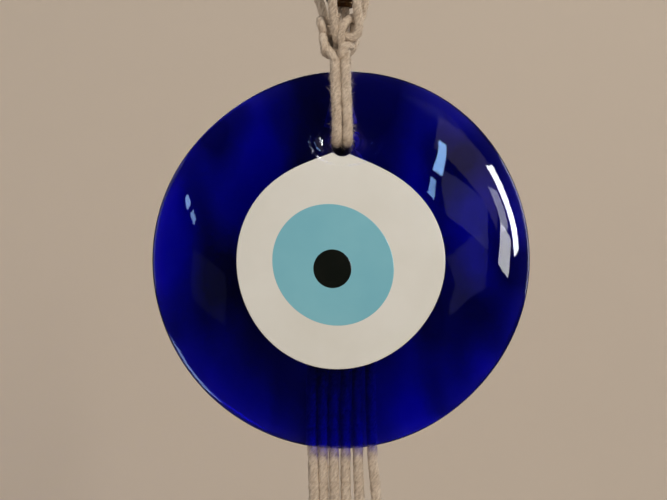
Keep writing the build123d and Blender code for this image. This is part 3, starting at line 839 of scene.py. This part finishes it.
def pressed_front(x, z):
    """The dome with an oval funnel pressed round the hole, a soft skin ripple and a pour mark near the top.

    The funnel is a quarter ellipse in the distance from the hole; the higher of it and the dome
    is kept, with the crease between them rounded.
    """
    away = np.hypot((x - FUNNEL_X) / FUNNEL_WIDE, z - FUNNEL_Z)
    inside = ((FUNNEL_R - away) / (FUNNEL_R - HOLE_R)).clip(0, 1)
    funnel = FRONT_Y + 1.0 * MM + FUNNEL_DEPTH * (1 - np.sqrt(1 - inside**2)) - 0.6 * MM * (inside <= 0)
    surface = dome(x, z)
    blend = 0.5 * (surface + funnel + np.sqrt((surface - funnel) ** 2 + CREASE**2))
    near = (1 - ((away - FUNNEL_R) / (2.5 * MM)).clip(0, 1)) ** 2
    surface = surface + (blend - surface) * near
    skin = 0.022 * np.sin(x / (5.1 * MM) + 1.3) * np.sin(z / (6.3 * MM))
    skin += 0.012 * np.sin((x + z) / (2.7 * MM))
    mark = np.exp(-((x - 11 * MM) / (5 * MM)) ** 2 - ((z - 48 * MM) / (4 * MM)) ** 2)
    return surface + (skin + 0.035 * mark * np.sin(x / (0.62 * MM))) * MM


AZIMUTHS = np.linspace(0, 360, 320, endpoint=False)
sine, cosine = np.sin(np.radians(AZIMUTHS)), np.cos(np.radians(AZIMUTHS))


def nested(share, inner_r, outer_r):
    """Circles that move and grow from the hole to the rim; share runs from 0 to 1."""
    size = inner_r + (outer_r - inner_r) * share[:, None]
    x = HOLE_X * (1 - share[:, None]) + size * sine
    z = HOLE_Z * (1 - share[:, None]) + size * cosine
    return x, z


rim = disc_outline(AZIMUTHS)[None, :]
share = np.r_[
    np.linspace(0, 0.2, 26),
    np.linspace(0.2, 0.86, 44)[1:],
    1 - 0.14 * (1 - np.linspace(0, 1, 22)[1:]) ** 1.7,
]
x, z = nested(share, HOLE_R, rim)
y = pressed_front(x, z)
y[-1] = BACK_Y - RIM_CORNER
rows = [np.stack([x, y, z], axis=-1)]
corner = np.linspace(0, np.pi / 2, 9)[1:, None]
size = rim - RIM_CORNER + RIM_CORNER * np.cos(corner)
y = BACK_Y - RIM_CORNER + RIM_CORNER * np.sin(corner) + 0 * size
rows.append(np.stack([size * sine, y, size * cosine], axis=-1))
share = np.linspace(1, 0, 26)[1:]
x, z = nested(share, HOLE_R + BACK_FLARE, rim - RIM_CORNER)
uneven = 0.03 * MM * np.sin(x / (4 * MM)) * np.sin(z / (5 * MM)) * (share[:, None] < 0.97)
rows.append(np.stack([x, BACK_Y + uneven, z], axis=-1))
depth = np.r_[0.33, 0.66, 1, 2.2, 3.4][:, None] * MM * 0.9
size = HOLE_R + BACK_FLARE * np.array([0.6, 0.25, 0, 0, 0])[:, None]
x, z = HOLE_X + size * sine, HOLE_Z + size * cosine
rows.append(np.stack([x, BACK_Y - depth + 0 * x, z], axis=-1))
glass_grid = np.concatenate(rows) + (0, 0, EYE_Z)
glass_shells = [shell(glass_grid, loop=True)]


def bubble(place, size):
    """A small round bubble: a sphere on a grid, turned inside out because air is inside it."""
    up = np.linspace(0.15, np.pi - 0.15, 7)[:, None]
    turn = np.linspace(0, 2 * np.pi, 12, endpoint=False)[None, :]
    sphere = (np.sin(up) * np.cos(turn), np.sin(up) * np.sin(turn), np.cos(up) + 0 * turn)
    grid = np.stack(np.broadcast_arrays(*sphere), axis=-1)
    return shell(place + size * grid)


rng = np.random.default_rng(12)
for _ in range(26):
    away, way = rng.uniform(*BUBBLE_BAND), rng.uniform(0, 2 * np.pi)
    x, z = away * np.sin(way) * MM, away * np.cos(way) * MM
    if np.hypot(x - HOLE_X, z - HOLE_Z) < 11 * MM:
        continue
    deep = rng.uniform(1.2, 3.0) * MM
    place = np.array([x, float(dome(x, z)) + deep, z + EYE_Z])
    glass_shells.append(bubble(place, rng.uniform(0.06, 0.17) * MM))
glass = make_piece("poured_disc", glass_shells, cobalt_glass)
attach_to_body(glass, "pendant")
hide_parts("glass_disc")


def drop_outline(angle):
    """Radius of the white drop: a circle with a faint three-sided wave and a point at the top."""
    off_top = np.minimum(angle % 360, 360 - angle % 360)
    return (30.1 + 0.4 * np.cos(np.radians(3 * (angle - 75))) + 3.4 * np.exp(-off_top / 11.0)) * MM


def iris_outline(angle):
    """Radius of the light blue layer: an ellipse that is longer towards the lower right."""
    half_long, half_short = 18.3, 16.95
    off = np.radians(angle - 135)
    return half_long * half_short / np.hypot(half_short * np.cos(off), half_long * np.sin(off)) * MM


def pupil_outline(angle):
    """Radius of the black layer."""
    return (5.67 + 0.06 * np.cos(np.radians(2 * angle + 40))) * MM


INLAY_EDGE = 0.35 * MM  # how far in the face of a layer starts to round off
INLAY_GAP = 0.12 * MM  # between the white layer and the hole


def inlay(name, outline, centre, proud, depth, material, node):
    """A poured layer: it follows the front of the glass, stands a little proud and ends in a rounded edge.

    Rows run from the middle of its face to the outline, down its side and back to the middle of
    its floor. The outline stops at the hole.
    """
    angle = np.linspace(0, 360, 360, endpoint=False)
    way = np.stack([np.sin(np.radians(angle)), np.cos(np.radians(angle))])
    reach = outline(angle)
    to_hole = np.array([HOLE_X - centre[0], HOLE_Z - centre[1]])
    along = way.T @ to_hole
    inside = along**2 - to_hole @ to_hole + (HOLE_R + INLAY_GAP) ** 2
    meets = (inside > 0) & (along > 0)
    reach = np.where(meets, np.minimum(reach, along - np.sqrt(np.where(meets, inside, 0))), reach)
    share = 1 - (1 - np.linspace(0.02, 1, 60)) ** 2.2
    x = centre[0] + share[:, None] * reach * way[0]
    z = centre[1] + share[:, None] * reach * way[1]
    from_edge = (1 - share[:, None]) * reach
    round_off = np.sqrt(1 - (1 - (from_edge / INLAY_EDGE).clip(0, 1)) ** 2)
    face = pressed_front(x, z) - proud * round_off + 0.02 * MM * (1 - round_off)
    floor = np.maximum(FRONT_Y + depth, face[-1] + 0.5 * MM)[None, :]
    side = np.array([0.35, 0.8, 1.0])[:, None]
    rows = [np.stack([x, face, z], axis=-1)]
    rows.append(np.stack([x[-1] + 0 * side, face[-1] + side * (floor - face[-1]), z[-1] + 0 * side], axis=-1))
    inward = np.array([0.97, 0.6, 0.05])[:, None]
    floor_x, floor_z = (middle + inward * (edge_at[-1] - middle) for middle, edge_at in zip(centre, (x, z)))
    rows.append(np.stack([floor_x, floor + 0 * inward, floor_z], axis=-1))
    piece = make_piece(name, [shell(np.concatenate(rows) + (0, 0, EYE_Z))], material)
    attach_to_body(piece, "pendant")
    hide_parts(node)


# name, outline, centre, how proud it stands, depth, material, slot, node; measures in millimetres
layers = (
    ("poured_white", drop_outline, (-0.36, -1.1), 0.12, 2.4, white_glass, "white_glass", "white_drop"),
    ("poured_iris", iris_outline, (-2.32, -1.37), 0.17, 1.4, sky_glass, "sky_glass", "blue_iris"),
    ("poured_pupil", pupil_outline, (-2.53, -2.5), 0.22, 0.8, black_glass, "black_glass", "black_pupil"),
)
for name, outline, (x, z), proud, depth, material, slot, node in layers:
    inlay(name, outline, (x * MM, z * MM), proud * MM, depth * MM, material, node)


# ---- Stage: a pale floor, a pale wall, and the pale card that the glass is seen against ----
def flat_sheet(name, corners):
    """A flat four-cornered sheet."""
    mesh = bpy.data.meshes.new(name)
    mesh.from_pydata(corners, [], [(0, 1, 2, 3)])
    sheet = bpy.data.objects.new(name, mesh)
    bpy.context.scene.collection.objects.link(sheet)
    return sheet


def backdrop_material(name, colour, ray=None):
    """Plain matt card. Given a kind of ray, only that kind meets it, and only from the front."""
    material, nodes, shader = new_material(name)
    shader.inputs["Base Color"].default_value = colour
    shader.inputs["Roughness"].default_value = 1.0
    shader.inputs["Specular IOR Level"].default_value = 0.0
    if ray is not None:
        clear = nodes.new("ShaderNodeBsdfTransparent")
        choice = nodes.new("ShaderNodeMixShader")
        seen = nodes.new("ShaderNodeLightPath").outputs[ray]
        behind = nodes.new("ShaderNodeNewGeometry").outputs["Backfacing"]
        factor = combined("MULTIPLY", seen, combined("SUBTRACT", 1.0, behind))
        give(choice.inputs["Fac"], factor)
        give(choice.inputs[1], clear.outputs["BSDF"])
        give(choice.inputs[2], shader.outputs["BSDF"])
        give(nodes["Material Output"].inputs["Surface"], choice.outputs["Shader"])
    return material


def painted_shade_card():
    """The card behind the glass, with painted shade: slow light and dark patches of fold shade, and painted
    shadows behind the hole and at the right.
    """
    material = backdrop_material("painted_shade_card", (0.6, 0.52, 0.44, 1), "Is Transmission Ray")
    nodes = material.node_tree.nodes
    place = nodes.new("ShaderNodeTexCoord").outputs["Object"]
    # painted shade: noise paints the light and dark of folds on the flat card
    painted_fold_shade = noise(stretched(place, (1, 1, 0.45)), 60, 1.0)
    light = sloped(painted_fold_shade, 0.38, 0.60)
    tone = mixed(light, (0.20, 0.17, 0.15, 1), (0.86, 0.76, 0.66, 1))
    # painted shadow spots: (x, height), and how far from there it is darkest and lit again
    spots = (((4, 46), 12, 28), ((35, 29), 3, 13), ((39, -15), 3, 12))
    for (x, height), inner, outer in spots:
        away = distance_from(stretched(place, (1, 0, 1)), (x * MM, 0, EYE_Z + height * MM))
        lit = sloped(away, inner * MM, outer * MM)
        tone = mixed(lit, (0.16, 0.14, 0.13, 1), tone)
    give(nodes["Principled BSDF"].inputs["Base Color"], tone)
    return material


def upright(name, y, half_width, low, high, material):
    """A sheet across the view at a depth, facing the front."""
    corners = [(-half_width, y, low), (half_width, y, low), (half_width, y, high), (-half_width, y, high)]
    sheet = flat_sheet(name, corners)
    sheet.data.materials.append(material)


FLOOR_Z = cad_box[0].z - 0.16
floor = flat_sheet("floor", [(-4, -4, FLOOR_Z), (4, -4, FLOOR_Z), (4, 4, FLOOR_Z), (-4, 4, FLOOR_Z)])
floor.data.materials.append(backdrop_material("pale_floor", (0.74, 0.655, 0.56, 1)))
floor.visible_glossy = False
upright("wall", 0.30, 4.0, FLOOR_Z, 2.5,
        backdrop_material("pale_wall", (0.69, 0.60, 0.495, 1), "Is Camera Ray"))
upright("card", 15 * MM, 0.16, EYE_Z - 0.13, EYE_Z + 0.13, painted_shade_card())

# ---- Light ----
ROOM = 0.30  # soft light from all round; polished faces see little of it
world = bpy.data.worlds.new("studio")
bpy.context.scene.world = world
world.use_nodes = True
nodes = world.node_tree.nodes
air = nodes["Background"]
ray = nodes.new("ShaderNodeLightPath").outputs
tone = mixed(ray["Is Camera Ray"], (0.92, 0.93, 1.0, 1), (0.46, 0.385, 0.31, 1))
give(air.inputs["Color"], tone)
unseen = combined("MULTIPLY", ray["Is Glossy Ray"], 0.93 * ROOM)
room = combined("SUBTRACT", ROOM, unseen)
give(air.inputs["Strength"], combined("MAXIMUM", room, ray["Is Camera Ray"]))

EYE = np.array([0, 0, EYE_Z])
ALL_KINDS = ("diffuse", "glossy", "transmission")
NO_GLOSS = ("diffuse", "transmission")  # a lamp that polished faces don't mirror


def area_lamp(name, place, aim, width, height, radiance, colour, up=(0, 0, 1), kinds=ALL_KINDS):
    """A flat lamp of a given radiance that faces a point; the camera doesn't see it."""
    lamp = bpy.data.lights.new(name, "AREA")
    lamp.shape = "RECTANGLE"
    lamp.size, lamp.size_y = width, height
    lamp.energy = radiance * np.pi * width * height
    lamp.color = colour
    holder = bpy.data.objects.new(name, lamp)
    bpy.context.scene.collection.objects.link(holder)
    back = Vector(place) - Vector(aim)
    back.normalize()
    side = Vector(up).cross(back).normalized()
    rise = back.cross(side)
    matrix = [[side[k], rise[k], back[k], place[k]] for k in range(3)] + [[0, 0, 0, 1]]
    holder.matrix_world = Matrix(matrix)
    holder.visible_camera = False
    holder.visible_diffuse = "diffuse" in kinds
    holder.visible_glossy = "glossy" in kinds
    holder.visible_transmission = "transmission" in kinds


LAMP_REACH = 1.0


def seen_at(x, z):
    """Where a lamp has to stand so that the dome shows it at a place on its face.

    The camera's ray to that place is turned back by the dome's slope there.
    """
    step = 0.05 * MM
    x, z = x * MM, z * MM
    slope_x = (dome(x + step, z) - dome(x - step, z)) / (2 * step)
    slope_z = (dome(x, z + step) - dome(x, z - step)) / (2 * step)
    normal = np.array([slope_x, -1.0, slope_z])
    normal /= np.linalg.norm(normal)
    point = np.array([x, float(dome(x, z)), z + EYE_Z])
    ray = point - np.array(camera.location)
    ray /= np.linalg.norm(ray)
    return point + LAMP_REACH * (ray - 2 * (ray @ normal) * normal)


def glint(name, start, end, width, radiance, colour):
    """A lamp whose reflection runs over the dome from start to end, width wide, in millimetres."""
    start, end = np.array(start, float), np.array(end, float)
    run = end - start
    cross = np.array([run[1], -run[0]]) / np.linalg.norm(run) * width / 2
    middle = (start + end) / 2
    first, last = seen_at(*start), seen_at(*end)
    one, two = seen_at(*(middle + cross)), seen_at(*(middle - cross))
    rise = last - first
    across = one - two
    area_lamp(name, (first + last) / 2, EYE, np.linalg.norm(across), np.linalg.norm(rise), radiance, colour,
              up=rise, kinds=("glossy",))


WARM, DAY, SKY = (1.0, 0.93, 0.84), (0.94, 0.96, 1.0), (0.30, 0.55, 1.0)
area_lamp("key", EYE + (0.34, -0.62, 0.52), EYE, 0.22, 0.22, 26.0, WARM, kinds=NO_GLOSS)
area_lamp("fill", EYE + (-0.6, -0.9, 0.15), EYE, 0.6, 0.6, 0.9, WARM, kinds=NO_GLOSS)
area_lamp("left_softbox", EYE + (-1.1, 0.25, 0.25), EYE, 0.5, 0.9, 0.5, DAY)
area_lamp("right_softbox", EYE + (1.15, 0.35, 0.2), EYE, 0.4, 0.9, 3.0, DAY)
area_lamp("back_softbox", EYE + (-0.25, 1.1, 0.7), EYE, 0.7, 0.6, 1.3, WARM)
glint("window_band", (43.2, 27.4), (51.0, 2.2), 2.3, 26.0, (0.95, 0.96, 1.0))
glint("frame_top", (43.9, 21.0), (47.5, 8.6), 2.2, 5.0, (0.95, 0.94, 1.0))
glint("frame_foot", (47.7, 8.3), (46.9, -4.6), 3.2, 10.0, (0.95, 0.94, 0.96))
glint("warm_veil", (37.0, 35.0), (37.5, 21.0), 9.0, 0.42, (1.0, 0.82, 0.90))
glint("cool_veil", (36.5, 20.6), (37.5, 6.5), 10.0, 0.5, (0.66, 0.64, 1.0))
glint("dim_veil", (36.5, 6.0), (38.0, -11.0), 10.0, 0.24, (0.66, 0.64, 1.0))
glint("right_strip_top", (29.0, 34.2), (27.6, 25.6), 2.2, 17.0, SKY)
glint("right_strip_foot", (27.0, 24.2), (25.8, 17.4), 2.0, 11.0, SKY)
glint("left_strip_top", (-45.0, 18.3), (-43.9, 15.6), 0.5, 11.0, (0.36, 0.58, 1.0))
glint("left_strip_foot", (-43.1, 14.2), (-41.9, 11.4), 0.5, 9.0, (0.36, 0.58, 1.0))
glint("left_panel", (-39.0, 0.6), (-39.0, -14.5), 9.0, 0.11, (0.5, 0.55, 1.0))
glint("low_left_strip", (-45.4, -30.0), (-41.6, -34.2), 0.7, 5.0, (0.5, 0.7, 1.0))

bpy.context.scene.view_settings.view_transform = "Standard"
